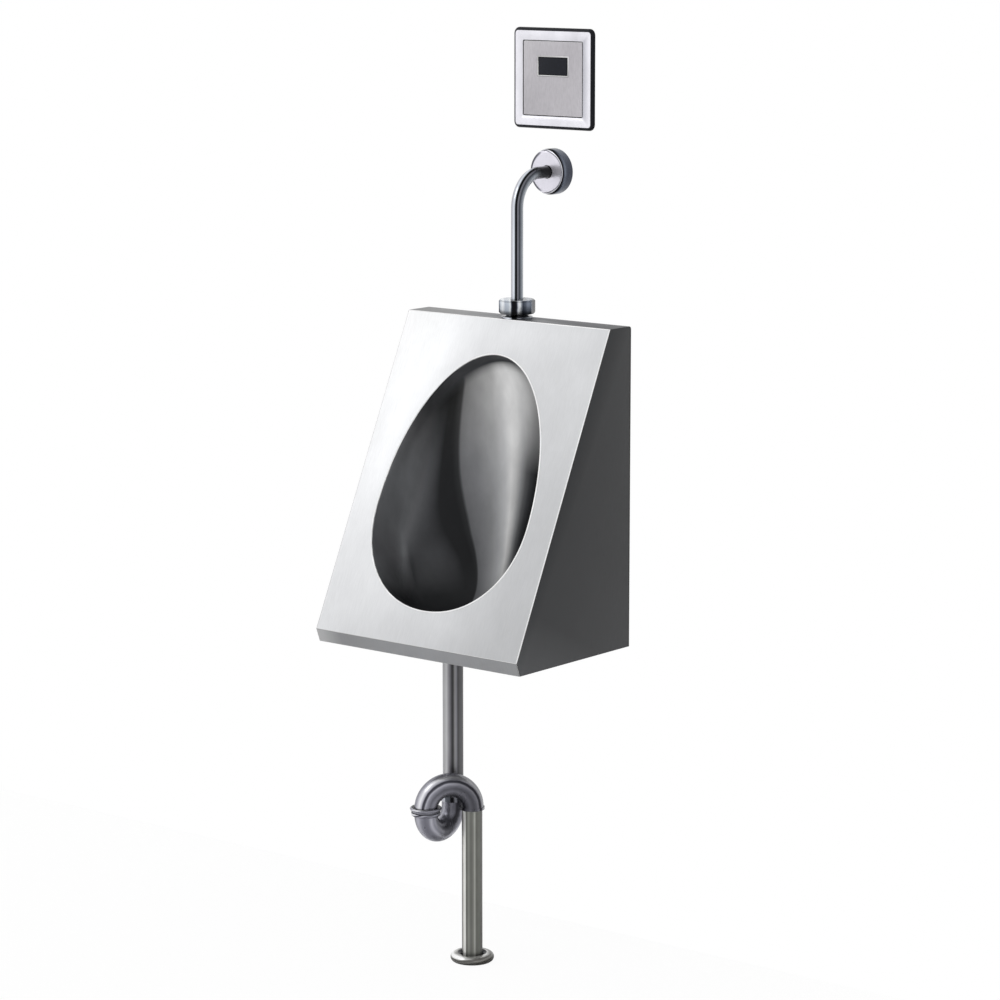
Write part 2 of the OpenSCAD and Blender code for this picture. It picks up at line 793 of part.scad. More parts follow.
module trap_inlet_nut() {
  low = socket_top - inlet_nut_t / 2;
  color("whitesmoke") placed() translate([0, drain_y, low]) difference() {
    faceted_nut(inlet_nut_r, 12, inlet_nut_t, 2 * gap);
    translate([0, 0, -eps]) cylinder(r = trap_r + gap, h = inlet_nut_t - rail_t + eps);
    cylinder(r = pipe_r + gap, h = inlet_nut_t + eps);
  }
}

module trap_inlet_washer() {
  color("black") placed() translate([0, drain_y, socket_top + fit])
    ring(trap_r - fit, pipe_r + fit, inlet_nut_t / 2 - rail_t - 2 * fit);
}

module trap_bowl() {
  rise = bend_drop - 2 * rail_t;
  color("lightgray") placed() translate([0, drain_y - ubend_r, ubend_z]) {
    rotate([-90, 0, 90]) rotate_extrude(angle = 180) translate([ubend_r, 0]) difference() {
      circle(trap_r);
      circle(trap_bore);
    }
    translate([0, ubend_r, 0]) tube(trap_r, trap_r - trap_bore, socket_h);
    translate([0, -ubend_r, 0]) tube(trap_r, trap_r - trap_bore, rise);
  }
}

module trap_joint_washer() {
  low = ubend_z + bend_drop - 2 * rail_t;
  color("black") placed() translate([middle[0], middle[1], low])
    ring(trap_r - fit, trap_bore, 2 * rail_t);
}

module trap_joint_nut() {
  color("whitesmoke") placed() translate([middle[0], middle[1], joint_z - joint_ring_t + 2 * rail_t])
    ring(joint_ring_r, trap_r + 2 * gap, joint_ring_t);
}

module trap_arch() {
  mid = (middle + outlet) / 2;
  leg = 2 * rail_t;
  color("lightgray") placed() {
    translate([mid[0], mid[1], joint_z]) rotate([90, 0, arch_turn])
      rotate_extrude(angle = 180) translate([arch_r, 0]) difference() {
        circle(trap_r);
        circle(trap_bore);
      }
    translate([outlet[0], outlet[1], joint_z - leg]) ring(bead_r, trap_bore + fit, leg);
  }
}

floor_z = -floor_drop;
floor_flange_r = 34;
floor_flange_h = 11;
spigot_neck = 1;
module floor_pipe() {
  low = floor_z - floor_spigot;
  neck = floor_z - floor_flange_h - spigot_neck;
  color("silver") placed() translate([outlet[0], outlet[1], 0]) rotate_extrude() polygon([
    [pipe_r - pipe_wall, low], [pipe_r - pipe_wall / 2, low], [pipe_r - pipe_wall / 2, neck],
    [pipe_r, neck], [pipe_r, joint_z], [pipe_r - pipe_wall, joint_z]
  ]);
}

module floor_flange() {
  edge = 3;
  color("lightgray") placed() translate([outlet[0], outlet[1], floor_z]) rotate_extrude() polygon([
    [pipe_r + gap, 0], [floor_flange_r, 0], [floor_flange_r, edge],
    [floor_flange_r - edge, 2 * edge], [pipe_r + 2 * edge, floor_flange_h - edge / 2],
    [pipe_r + edge, floor_flange_h], [pipe_r + gap, floor_flange_h]
  ]);
}

module floor_seal() {
  color("black") placed() translate([outlet[0], outlet[1], floor_z - floor_flange_h])
    ring(pipe_r + 2 * rail_t, pipe_r + fit, floor_flange_h);
}

cabinet_shell();
front_panel();
bowl_back();
bowl_left();
bowl_right();
bowl_front();
hook_rail();
wall_hanger();
anchor_nuts();
wall_anchors();
spacer_brackets();
bumper_pads();
inlet_spud();
spud_washer();
spud_locknut();
spud_nut();
spud_seal();
spreader_pipe();
flush_pipe();
wall_flange();
wall_elbow();
riser_pipe();
valve_body();
valve_diaphragm();
solenoid_coil();
solenoid_plunger();
plunger_spring();
stop_spindle();
inlet_filter();
concealed_box();
battery_case();
batteries();
sensor_module();
plate_frame();
plate_face();
sensor_window();
window_bezel();
drain_strainer();
waste_body();
waste_gasket();
waste_locknut();
drain_pipe();
trap_inlet_nut();
trap_inlet_washer();
trap_bowl();
trap_joint_nut();
trap_joint_washer();
trap_arch();
floor_pipe();
floor_flange();
floor_seal();
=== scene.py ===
import json
import math

import bmesh
import bpy
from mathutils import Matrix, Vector


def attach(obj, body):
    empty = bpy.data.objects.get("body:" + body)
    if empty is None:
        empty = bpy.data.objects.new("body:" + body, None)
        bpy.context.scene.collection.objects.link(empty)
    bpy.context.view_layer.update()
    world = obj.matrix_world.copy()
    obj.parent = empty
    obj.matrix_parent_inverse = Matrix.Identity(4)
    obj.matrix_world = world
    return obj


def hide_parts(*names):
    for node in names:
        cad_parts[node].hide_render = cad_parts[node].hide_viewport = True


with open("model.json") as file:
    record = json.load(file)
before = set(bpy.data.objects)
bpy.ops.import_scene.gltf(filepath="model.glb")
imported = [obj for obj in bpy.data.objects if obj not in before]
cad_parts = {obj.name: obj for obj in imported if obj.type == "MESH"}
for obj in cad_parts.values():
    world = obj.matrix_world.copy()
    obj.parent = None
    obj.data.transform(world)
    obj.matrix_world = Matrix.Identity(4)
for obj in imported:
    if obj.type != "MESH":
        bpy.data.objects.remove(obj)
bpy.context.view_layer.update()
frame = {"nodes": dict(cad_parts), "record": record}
scene = bpy.context.scene
mm = 0.001
print("frame loaded:", len(frame["nodes"]), "nodes")

# the camera stands to the right of the urinal, a little above its middle
cameraSetup = {
    "turn": 39.0,          # degrees to the right of straight ahead
    "rise": 10.036,        # degrees above the horizon
    "distance": 5.4917,    # metres from the aim point
    "aim": (-0.0576, -0.065, -0.2282),
    "focal": 3.4599,       # focal length as a share of the picture's width
    "sensor": 36.0,
}
hangHeight = 430 * mm      # from the cabinet's underside up to the frame's origin


def tint(text):
    # sRGB hex text to a linear colour
    parts = [int(text[i:i + 2], 16) / 255 for i in (1, 3, 5)]
    return [c / 12.92 if c <= 0.04045 else ((c + 0.055) / 1.055) ** 2.4 for c in parts] + [1.0]


def grey(text):
    return tint("#" + text * 3)


def backVector(turn, rise):
    a, e = math.radians(turn), math.radians(rise)
    return Vector((math.sin(a) * math.cos(e), -math.cos(a) * math.cos(e), math.sin(e)))


def addCamera(setup):
    camData = bpy.data.cameras.new("photo_camera")
    camData.sensor_width = setup["sensor"]
    camData.lens = setup["focal"] * setup["sensor"]
    camData.clip_end = 100
    cam = bpy.data.objects.new("photo_camera", camData)
    back = backVector(setup["turn"], setup["rise"])
    cam.location = Vector(setup["aim"]) + back * setup["distance"]
    cam.rotation_euler = (-back).to_track_quat("-Z", "Y").to_euler()
    scene.collection.objects.link(cam)
    scene.camera = cam


addCamera(cameraSetup)
print("camera set")


# small helpers for building node materials
def newMaterial(name):
    mat = bpy.data.materials.new(name)
    mat.use_nodes = True
    tree = mat.node_tree
    shader = tree.nodes["Principled BSDF"]
    return mat, tree, shader


def join(tree, source, target):
    tree.links.new(source, target)


def addNode(tree, kind, **settings):
    node = tree.nodes.new(kind)
    for key, value in settings.items():
        setattr(node, key, value)
    return node


def mathNode(tree, operation, *values):
    node = addNode(tree, "ShaderNodeMath", operation=operation)
    for socket, value in zip(node.inputs, values):
        if isinstance(value, (int, float)):
            socket.default_value = value
        else:
            join(tree, value, socket)
    return node.outputs[0]


def vectorNode(tree, operation, *values):
    node = addNode(tree, "ShaderNodeVectorMath", operation=operation)
    for socket, value in zip(node.inputs, values):
        if isinstance(value, (tuple, list, Vector)):
            socket.default_value = value
        else:
            join(tree, value, socket)
    return node.outputs["Value" if operation == "DOT_PRODUCT" else "Vector"]


def ramp(tree, value, stops):
    node = addNode(tree, "ShaderNodeValToRGB")
    bits = node.color_ramp.elements
    while len(bits) < len(stops):
        bits.new(0.5)
    for bit, (place, colour) in zip(bits, sorted(stops)):
        bit.position = place
        bit.color = colour
    join(tree, value, node.inputs[0])
    return node.outputs[0]


def mixColour(tree, share, a, b, blend="MIX"):
    node = addNode(tree, "ShaderNodeMix", data_type="RGBA", blend_type=blend)
    for socket, value in ((node.inputs[0], share), (node.inputs[6], a), (node.inputs[7], b)):
        if isinstance(value, (int, float, list, tuple)):
            socket.default_value = value
        else:
            join(tree, value, socket)
    return node.outputs[2]


def objectPlace(tree):
    return addNode(tree, "ShaderNodeTexCoord").outputs["Object"]


def along(tree, vector, start, end):
    # 0 at start and 1 at end, measured along the line between them
    line = Vector(end) - Vector(start)
    shifted = vectorNode(tree, "SUBTRACT", vector, start)
    return vectorNode(tree, "DOT_PRODUCT", shifted, line / line.length_squared)


# uneven patches of the finishes: cycles to the metre on each axis, and how many layers
patterns = {
    "cloud": ((22, 22, 9), 4.0), "smudge": ((35, 35, 18), 4.0), "patches": ((25, 25, 25), 3.0),
    "wobble": ((60, 60, 60), 2.0), "dents": ((140, 140, 140), 3.0), "satin": ((900, 900, 40), 3.0),
}


def grain(tree, stretch, detail=3.0):
    # uneven noise: the stretch gives how many cycles to the metre on each axis
    mapping = addNode(tree, "ShaderNodeMapping")
    mapping.inputs["Scale"].default_value = stretch
    join(tree, objectPlace(tree), mapping.inputs["Vector"])
    noiseNode = addNode(tree, "ShaderNodeTexNoise")
    noiseNode.inputs["Scale"].default_value = 1.0
    noiseNode.inputs["Detail"].default_value = detail
    join(tree, mapping.outputs[0], noiseNode.inputs["Vector"])
    return noiseNode.outputs["Fac"]


def addBump(tree, shader, height, strength, distance):
    bump = addNode(tree, "ShaderNodeBump")
    bump.inputs["Strength"].default_value = strength
    bump.inputs["Distance"].default_value = distance
    join(tree, height, bump.inputs["Height"])
    join(tree, bump.outputs[0], shader.inputs["Normal"])


def normalAlong(tree, direction):
    # how much the surface faces a fixed direction of the object: 0 away from it, 1 straight at it
    normal = addNode(tree, "ShaderNodeTexCoord").outputs["Normal"]
    facing = vectorNode(tree, "DOT_PRODUCT", normal, Vector(direction).normalized())
    return mathNode(tree, "MULTIPLY_ADD", facing, 0.5, 0.5)


def turnedFaces(tree, axis, low, high):
    # 0 where the surface faces less than low along the axis, 1 where it faces more than high
    node = addNode(tree, "ShaderNodeMapRange")
    node.inputs["From Min"].default_value = 0.5 + low / 2
    node.inputs["From Max"].default_value = 0.5 + high / 2
    join(tree, normalAlong(tree, axis), node.inputs["Value"])
    return node.outputs[0]


def followBend(tree, bend):
    # like normalAlong, but the direction turns with a bent tube, so the painted reflection bands run along
    # it
    arm = vectorNode(tree, "SUBTRACT", objectPlace(tree), bend["centre"])
    arm = vectorNode(tree, "MAXIMUM", arm, bend["low"])
    arm = vectorNode(tree, "MINIMUM", arm, bend["high"])
    plane = Vector(bend["plane"]).normalized()
    offPlane = vectorNode(tree, "PROJECT", arm, plane)
    outward = vectorNode(tree, "NORMALIZE", vectorNode(tree, "SUBTRACT", arm, offPlane))
    normal = addNode(tree, "ShaderNodeTexCoord").outputs["Normal"]
    outTurn = vectorNode(tree, "DOT_PRODUCT", normal, outward)
    sideTurn = vectorNode(tree, "DOT_PRODUCT", normal, plane)
    outPart = mathNode(tree, "MULTIPLY", outTurn, -bend["outShare"] / 2)
    sidePart = mathNode(tree, "MULTIPLY", sideTurn, bend["sideShare"] / 2)
    return mathNode(tree, "ADD", mathNode(tree, "ADD", outPart, sidePart), 0.5)


def blackToWhite(tree, start, end):
    # black at start, white at end, measured along the line between them
    return ramp(tree, along(tree, objectPlace(tree), start, end), [(0.0, grey("00")), (1.0, grey("ff"))])


def setRoughness(tree, shader, uneven, least, spread):
    roughness = mathNode(tree, "MULTIPLY_ADD", uneven, spread, least)
    join(tree, roughness, shader.inputs["Roughness"])


def brushedSteel(name, stops, start, end, stretch, metal, rough=0.42, streak=0.12, other=None, line=None):
    # stops give the colour from start to end, a painted gradient of light, and fine streaks ride on it;
    # other gives the painted light and shade of faces that turn another way, and line a thin strip past a
    # given place
    mat, tree, shader = newMaterial(name)
    place = along(tree, objectPlace(tree), start, end)
    base = ramp(tree, place, stops)
    if other:
        share = turnedFaces(tree, other["axis"], other["low"], other["high"])
        turned = ramp(tree, along(tree, objectPlace(tree), other["start"], other["end"]), other["stops"])
        base = mixColour(tree, share, base, turned)
    if line:
        base = mixColour(tree, blackToWhite(tree, line["start"], line["end"]), base, line["colour"])
    fine = grain(tree, stretch)
    cloud = grain(tree, *patterns["cloud"])
    streaks = ramp(tree, fine, [(0.3, grey("c0")), (0.7, grey("ff"))])
    shades = ramp(tree, cloud, [(0.3, grey("dc")), (0.7, grey("ff"))])
    colour = mixColour(tree, streak * 2, base, streaks, "MULTIPLY")
    colour = mixColour(tree, 0.25, colour, shades, "MULTIPLY")
    join(tree, colour, shader.inputs["Base Color"])
    setRoughness(tree, shader, fine, rough - 0.08, 0.16)
    shader.inputs["Metallic"].default_value = metal
    addBump(tree, shader, fine, 0.15, 0.0001)
    return mat


def paintedReflectionMetal(name, stops, direction, metal=0.7, rough=0.16, ripple=0.0, satin=0.0, bend=None,
                across=None, roof=None, drift=None, upper=None, sump=None, shade=None, shine=0.25):
    # metal with painted reflections: bright and dark bands that follow the way its surface faces, the turn
    # of a bent tube, or the place across a nut. drift moves the bands with height, upper gives other
    # painted bands higher up, sump a colour of painted shade low down, shade paints shade along a line, and
    # roof paints shade on the undersides
    mat, tree, shader = newMaterial(name)
    if bend:
        facing = followBend(tree, bend)
    elif across:
        facing = along(tree, objectPlace(tree), across[0], across[1])
    else:
        facing = normalAlong(tree, direction)
    if ripple:
        wobble = mathNode(tree, "SUBTRACT", grain(tree, *patterns["wobble"]), 0.5)
        wobble = mathNode(tree, "MULTIPLY", wobble, ripple)
        facing = mathNode(tree, "ADD", facing, wobble)
    if drift:
        height = along(tree, objectPlace(tree), drift["start"], drift["end"])
        facing = mathNode(tree, "ADD", facing, mathNode(tree, "MAXIMUM", height, drift["least"]))
    colour = ramp(tree, facing, stops)
    if upper:
        high = blackToWhite(tree, upper["start"], upper["end"])
        colour = mixColour(tree, high, colour, ramp(tree, facing, upper["stops"]))
    if sump:
        deep = blackToWhite(tree, sump["start"], sump["end"])
        turned = ramp(tree, facing, [(sump["past"], grey("00")), (sump["past"] + 0.03, grey("ff"))])
        colour = mixColour(tree, mixColour(tree, 1.0, deep, turned, "MULTIPLY"), colour, sump["colour"])
    if shade:
        shading = ramp(tree, along(tree, objectPlace(tree), shade["start"], shade["end"]), shade["stops"])
        colour = mixColour(tree, 1.0, colour, shading, "MULTIPLY")
    if roof:
        colour = mixColour(tree, turnedFaces(tree, (0, 0, -1), *roof["turn"]), colour, roof["colour"])
    smudge = grain(tree, *patterns["smudge"])
    marks = ramp(tree, smudge, [(0.35, grey("e4")), (0.65, grey("ff"))])
    join(tree, mixColour(tree, 0.6, colour, marks, "MULTIPLY"), shader.inputs["Base Color"])
    setRoughness(tree, shader, smudge, rough - 0.04, 0.12)
    shader.inputs["Metallic"].default_value = metal
    shader.inputs["Specular IOR Level"].default_value = shine
    if ripple:
        addBump(tree, shader, grain(tree, *patterns["dents"]), 0.25, 0.0006)
    if satin:
        addBump(tree, shader, grain(tree, *patterns["satin"]), satin, 0.0002)
    return mat


def plainFinish(name, colour, rough, metal=0.0, grainScale=900.0, bump=0.2, coat=0.0, shine=0.5):
    # moulded or turned material with a fine texture and slight colour change
    mat, tree, shader = newMaterial(name)
    spots = grain(tree, (grainScale,) * 3)
    darker = [c * 0.7 for c in colour[:3]] + [1.0]
    base = mixColour(tree, grain(tree, *patterns["patches"]), darker, colour)
    join(tree, base, shader.inputs["Base Color"])
    setRoughness(tree, shader, spots, rough - 0.07, 0.15)
    shader.inputs["Metallic"].default_value = metal
    shader.inputs["Coat Weight"].default_value = coat
    shader.inputs["Specular IOR Level"].default_value = shine
    addBump(tree, shader, spots, bump, 0.0002)
    return mat


cameraTurn = math.radians(cameraSetup["turn"])
cameraSide = (math.cos(cameraTurn), math.sin(cameraTurn), 0)

# bent tubes: the middle of each bend, the direction square to its plane, how far the bend reaches to
# each side of the middle, and how much the outward and the sideways turn move the painted reflection bands
flushBend = {
    "centre": (0, -0.042, 0.240), "plane": (1, 0, 0), "low": (-1, -1, 0.0005), "high": (1, -0.0005, 1),
    "outShare": math.sin(cameraTurn), "sideShare": math.cos(cameraTurn),
}
archBend = {
    "centre": (0.0215, -0.288, -0.672), "plane": (0.813, -0.583, 0),
    "low": (-1, -1, 0.0005), "high": (1, 1, 1), "outShare": 0.964, "sideShare": 0.265,
}
trapBend = {
    "centre": (0, -0.285, -0.678), "plane": (1, 0, 0), "low": (-1, -1, -1), "high": (1, 1, -0.0005),
    "outShare": math.sin(cameraTurn), "sideShare": math.cos(cameraTurn),
}
nutMiddle = Vector((0, -0.094, 0.088))
nutHalf = Vector(cameraSide) * 0.0275     # from the middle to the nut's outline, as the camera sees it

# painted reflections: bright and dark bands from the left outline of a part to its right one
chromeStops = [
    (0.0, tint("#a4a4ac")), (0.1, tint("#c0c1c9")), (0.22, tint("#e6ecf4")), (0.285, tint("#c4c9d2")),
    (0.335, tint("#16181e")), (0.38, tint("#040507")), (0.48, tint("#040408")), (0.525, tint("#707177")),
    (0.60, tint("#6b6c75")), (0.67, tint("#383b42")), (0.72, tint("#484c52")), (0.80, tint("#70757d")),
    (0.9, tint("#969ba2")), (1.0, tint("#b4b8bc"))]
tubeStops = [
    (0.0, tint("#9a9a9e")), (0.10, tint("#b8b8ba")), (0.19, tint("#c8c8ca")), (0.28, tint("#98979c")),
    (0.37, tint("#706f74")), (0.46, tint("#38383a")), (0.53, tint("#484849")), (0.59, tint("#8c8c8e")),
    (0.67, tint("#86868c")), (0.74, tint("#4c4c4e")), (0.84, tint("#606062")), (0.94, tint("#5c5c5e")),
    (1.0, tint("#48484a"))]
floorStops = [
    (0.0, tint("#6a6a68")), (0.04, tint("#787773")), (0.09, tint("#eaeae6")), (0.17, tint("#f4f4f0")),
    (0.215, tint("#5c5d57")), (0.33, tint("#8a8b86")), (0.44, tint("#6a6b66")), (0.55, tint("#7a7b76")),
    (0.63, tint("#a8a9a3")), (0.70, tint("#696a65")), (0.83, tint("#73746f")), (0.94, tint("#626360")),
    (1.0, tint("#44443f"))]
castStops = [
    (0.0, tint("#6c6c76")), (0.07, tint("#a6a6b0")), (0.20, tint("#f2f2f6")), (0.29, tint("#b4b4be")),
    (0.34, tint("#3a3a42")), (0.42, tint("#4a4a52")), (0.47, tint("#b0b0ba")), (0.56, tint("#8c8c96")),
    (0.68, tint("#6c6c75")), (0.82, tint("#8e8e98")), (0.93, tint("#5a5a63")), (1.0, tint("#3e3e46"))]
# most of these finishes paint light into their colour: painted reflections, highlights and shade; the plain
# finishes further down are the parts' own colours
finishes = {
    # front: a painted gradient of light, bright at the top left and darker to the bottom right, and painted
    # shade on the faces that turn down
    "front": brushedSteel(
        "brushed_front_steel_painted_light",
        [(0.0, tint("#fdfdfe")), (0.1, tint("#fafbfc")), (0.2, tint("#f3f4f6")), (0.25, tint("#eaebed")),
         (0.31, tint("#e0e1e3")), (0.42, tint("#dadbdd")), (0.6, tint("#d0d1d3")), (0.72, tint("#cbccce")),
         (0.84, tint("#bfc0c2")), (1.0, tint("#b8b9bb"))],
        (-0.2, -0.12, 0.07), (0.310, -0.12, -0.131), (700, 60, 60), metal=0.3, streak=0.07,
        other={"axis": (0, 0, -1), "low": 0.1, "high": 0.2, "start": (-0.2, 0, 0), "end": (0.2, 0, 0),
               "stops": [(0.0, tint("#b4b4b5")), (0.12, tint("#8a8b8d")), (0.6, tint("#919295")),
                         (1.0, tint("#929395"))]}),
    # side: a dark painted reflection that lightens towards the lower front, painted light on the faces that
    # turn up, and a thin dark strip along the back edge
    "side": brushedSteel(
        "brushed_side_steel_painted_shade",
        [(0.0, tint("#2b2c2e")), (0.4, tint("#262729")), (0.6, tint("#262729")), (0.85, tint("#2b2c2e")),
         (1.0, tint("#48494b"))],
        (0.2, -0.07, 0.07), (0.2, -0.33, -0.42), (60, 500, 60), metal=0.4, rough=0.45,
        other={"axis": (0, 0, 1), "low": 0.5, "high": 0.7, "start": (-0.2, 0, 0), "end": (0.2, 0, 0),
               "stops": [(0.0, tint("#7a7a7b")), (0.2, tint("#8e8e8f")), (0.45, tint("#7b7c80")),
                         (0.8, tint("#505155")), (1.0, tint("#4c4d50"))]},
        line={"start": (0, -0.0695, 0), "end": (0, -0.0685, 0), "colour": tint("#141416")}),
    # edge: a painted highlight on rounded edges, with painted shade on the edges that face left and on
    # their undersides
    "edge": paintedReflectionMetal(
        "edge_painted_highlight", [(0.0, grey("58")), (0.08, grey("88")), (0.3, grey("ff")), (1.0, grey("ff"))],
        cameraSide, metal=0.1, rough=0.3, roof={"turn": (0.02, 0.1), "colour": grey("86")}),
    # bead: a painted highlight, near white all round
    "bead": paintedReflectionMetal(
        "bead_painted_highlight", [(0.0, grey("f0")), (0.5, grey("ff")), (1.0, grey("ff"))],
        cameraSide, metal=0.1, rough=0.3),
    # darkEdge: painted shade for grooves and dark edges
    "darkEdge": paintedReflectionMetal(
        "shaded_edge", [(0.0, tint("#3a3b40")), (0.3, tint("#1c1d21")), (0.8, tint("#141519")),
                        (1.0, tint("#2a2b30"))],
        cameraSide, metal=0.4, rough=0.3, shine=0.1),
    # bowl: painted reflections in bright and dark bands down the walls, other painted bands near the top,
    # and painted shade low in the sump, towards the bottom and under the roof
    "bowl": paintedReflectionMetal(
        "satin_bowl_steel_painted_reflections",
        [(0.36, tint("#27282a")), (0.405, tint("#292a2c")), (0.43, tint("#454649")),
         (0.455, tint("#6c6d6f")), (0.48, tint("#a8a9ab")), (0.505, grey("e0")), (0.53, grey("fa")),
         (0.56, tint("#d6d7d9")), (0.60, tint("#b4b5b7")), (0.64, tint("#9c9d9f")),
         (0.68, tint("#8c8d90")), (0.72, tint("#808184")), (0.742, tint("#76777a")),
         (0.752, tint("#37383a")), (0.775, tint("#27282a")), (0.82, tint("#292a2c")),
         (0.845, tint("#4a4b4e")), (0.875, tint("#606164")), (0.905, tint("#747578")),
         (0.94, tint("#888a8d")), (0.97, tint("#7c7d80")), (1.0, tint("#66676a"))],
        (1, 0, 0.45), metal=0.3, rough=0.36, satin=0.12, shine=0.1,
        drift={"start": (0, 0, -0.2), "end": (0, 0, 3.1333), "least": -0.022},
        upper={"start": (0, 0, -0.17), "end": (0, 0, -0.03),
               "stops": [(0.30, grey("90")), (0.40, grey("c4")), (0.46, grey("e8")), (0.50, grey("f8")),
                         (0.545, grey("ec")), (0.60, grey("c0")), (0.68, grey("a0")), (0.74, grey("88")),
                         (0.755, grey("46")), (0.79, grey("2b")), (0.86, grey("2c")), (0.90, grey("58")),
                         (0.94, grey("90")), (1.0, grey("88"))]},
        sump={"start": (0, 0, -0.30), "end": (0, 0, -0.36), "past": 0.745, "colour": tint("#333436")},
        shade={"start": (0, 0, 0.05), "end": (0, 0, -0.37),
               "stops": [(0.0, grey("ff")), (0.4, grey("f2")), (0.78, grey("dc")), (1.0, grey("c8"))]},
        roof={"turn": (0.3, 0.6), "colour": tint("#515255")}),
    # chrome: painted reflections in bands across each part
    "chrome": paintedReflectionMetal("chrome_painted_reflections", chromeStops, cameraSide),
    # bentChrome: painted reflections that follow the bend, and painted shade darkening the pipe towards the
    # wall
    "bentChrome": paintedReflectionMetal(
        "bent_chrome_painted_reflections", chromeStops, cameraSide, bend=flushBend,
        shade={"start": (0, -0.062, 0), "end": (0, -0.030, 0),
               "stops": [(0.0, grey("ff")), (0.35, grey("90")), (0.6, grey("40")), (1.0, grey("28"))]}),
    # cup: painted reflections in bands across the wall flange
    "cup": paintedReflectionMetal(
        "flange_chrome",
        [(0.0, tint("#3c3c44")), (0.11, tint("#50505a")), (0.145, tint("#8a8a94")), (0.17, tint("#e8e6f0")),
         (0.205, tint("#e4e2ec")), (0.22, tint("#18181c")), (0.25, tint("#b8b8c2")),
         (0.285, tint("#f0f0f6")), (0.32, tint("#0c0c10")), (0.43, tint("#16161a")),
         (0.50, tint("#4a4f5a")), (0.62, tint("#6a707c")), (0.74, tint("#565b66")),
         (0.86, tint("#434752")), (1.0, tint("#2c2c34"))],
        cameraSide, rough=0.2, ripple=0.03),
    # nut: painted reflections across the nut, a faint line of painted shade near its top, and painted shade
    # darkening its lower part
    "nut": paintedReflectionMetal(
        "nut_chrome_painted_reflections",
        [(0.0, tint("#6a7280")), (0.04, tint("#dfe6ee")), (0.10, tint("#f8fbff")), (0.16, tint("#b8c0cc")),
         (0.26, tint("#c8d0da")), (0.30, tint("#f4f8fc")), (0.335, tint("#3a4050")),
         (0.36, tint("#0c0c12")), (0.45, tint("#0a0a10")), (0.49, tint("#2a2e38")),
         (0.52, tint("#c8ccd4")), (0.57, tint("#f4f6f8")),
         (0.62, tint("#9aa0aa")), (0.66, tint("#3c424e")), (0.74, tint("#5c6370")), (0.80, tint("#8a92a0")),
         (0.90, tint("#6a7280")), (0.95, tint("#2c313c")), (1.0, tint("#14161c"))],
        cameraSide, across=(nutMiddle - nutHalf, nutMiddle + nutHalf), rough=0.18, ripple=0.06,
        shade={"start": (0, 0, 0.0995), "end": (0, 0, 0.0772),
               "stops": [(0.0, grey("ff")), (0.1, grey("cc")), (0.18, grey("ff")), (0.68, grey("e0")),
                         (0.84, grey("88")), (1.0, grey("50"))]}),
    # cast: painted reflections in bands across each cast part
    "cast": paintedReflectionMetal("cast_chrome", castStops, (0.6, 0.3, -0.5), rough=0.22, ripple=0.10),
    # bentCast: painted reflections that follow the arch, and painted shade darkening it towards the floor
    # pipe
    "bentCast": paintedReflectionMetal(
        "bent_cast_chrome_painted_reflections", castStops, cameraSide, rough=0.24, ripple=0.07, bend=archBend,
        shade={"start": (0, -0.318, -0.65), "end": (0.043, -0.258, -0.65),
               "stops": [(0.0, grey("ff")), (0.35, grey("dd")), (0.7, grey("b8")), (1.0, grey("aa"))]}),
    # lowCast: painted reflections that follow the U-bend
    "lowCast": paintedReflectionMetal(
        "low_cast_chrome_painted_reflections",
        [(0.0, tint("#4a4a52")), (0.08, tint("#a4a4ae")), (0.18, tint("#b8b8c2")), (0.30, tint("#8a8a94")),
         (0.45, tint("#74747e")), (0.6, tint("#7e7e88")), (0.72, tint("#b4b4be")), (0.82, tint("#85858f")),
         (0.92, tint("#9c9ca6")), (1.0, tint("#5c5c64"))],
        cameraSide, rough=0.26, ripple=0.08, bend=trapBend),
    # donut: a painted highlight to the left front of the floor flange, with painted shade elsewhere
    "donut": paintedReflectionMetal(
        "floor_flange_chrome_painted_highlight",
        [(0.0, tint("#1e1d1c")), (0.30, tint("#2c2b2a")), (0.38, tint("#5a5956")), (0.46, tint("#343330")),
         (0.56, tint("#5a5956")), (0.68, tint("#7e7d7a")), (0.80, tint("#545350")), (0.88, tint("#7c7b78")),
         (0.93, tint("#d8d8d6")), (0.96, tint("#ffffff")), (1.0, tint("#ffffff"))],
        (-0.24, -0.68, 0.96), rough=0.16, ripple=0.12),
    # tube and floorTube: painted reflections in bands along the pipes
    "tube": paintedReflectionMetal("drawn_tube_steel_painted_reflections", tubeStops, cameraSide, metal=0.5, rough=0.32, satin=0.15),
    "floorTube": paintedReflectionMetal("floor_tube_steel_painted_reflections", floorStops, cameraSide, metal=0.5, rough=0.3, satin=0.15),
    # plateFrame: painted reflections, bright on the frame's face and dark at its edges
    "plateFrame": paintedReflectionMetal(
        "plate_frame_painted_reflections",
        [(0.0, tint("#2a2b30")), (0.3, tint("#b9b9c2")), (0.5, tint("#efeef5")), (0.7, tint("#e4e3ea")),
         (0.9, tint("#3a3b40")), (1.0, tint("#26272b"))],
        (1, 0, 0.15), metal=0.25, rough=0.2),
    "plateFace": brushedSteel(
        "brushed_plate_steel", [(0.0, tint("#c3c0c4")), (0.5, tint("#b9b6bb")), (1.0, tint("#c4c1c6"))],
        (-0.06, 0, 0.5), (0.06, 0, 0.38), (500, 120, 120), metal=0.3, rough=0.42, streak=0.14),
    "rubber": plainFinish("black_rubber", tint("#18181a"), 0.75, bump=0.3),
    "brass": plainFinish("turned_brass", tint("#b99a5c"), 0.35, metal=0.9, grainScale=600),
    "bracket": plainFinish("plated_bracket_steel", tint("#a9adb0"), 0.4, metal=0.8, grainScale=500),
    "housing": plainFinish("dark_housing_plastic", tint("#26282b"), 0.55),
    "window": plainFinish("infrared_window", tint("#1e2027"), 0.22, bump=0.02, shine=0.15),
    "windowBorder": plainFinish("window_border", tint("#0c0d10"), 0.4, bump=0.02, shine=0.1),
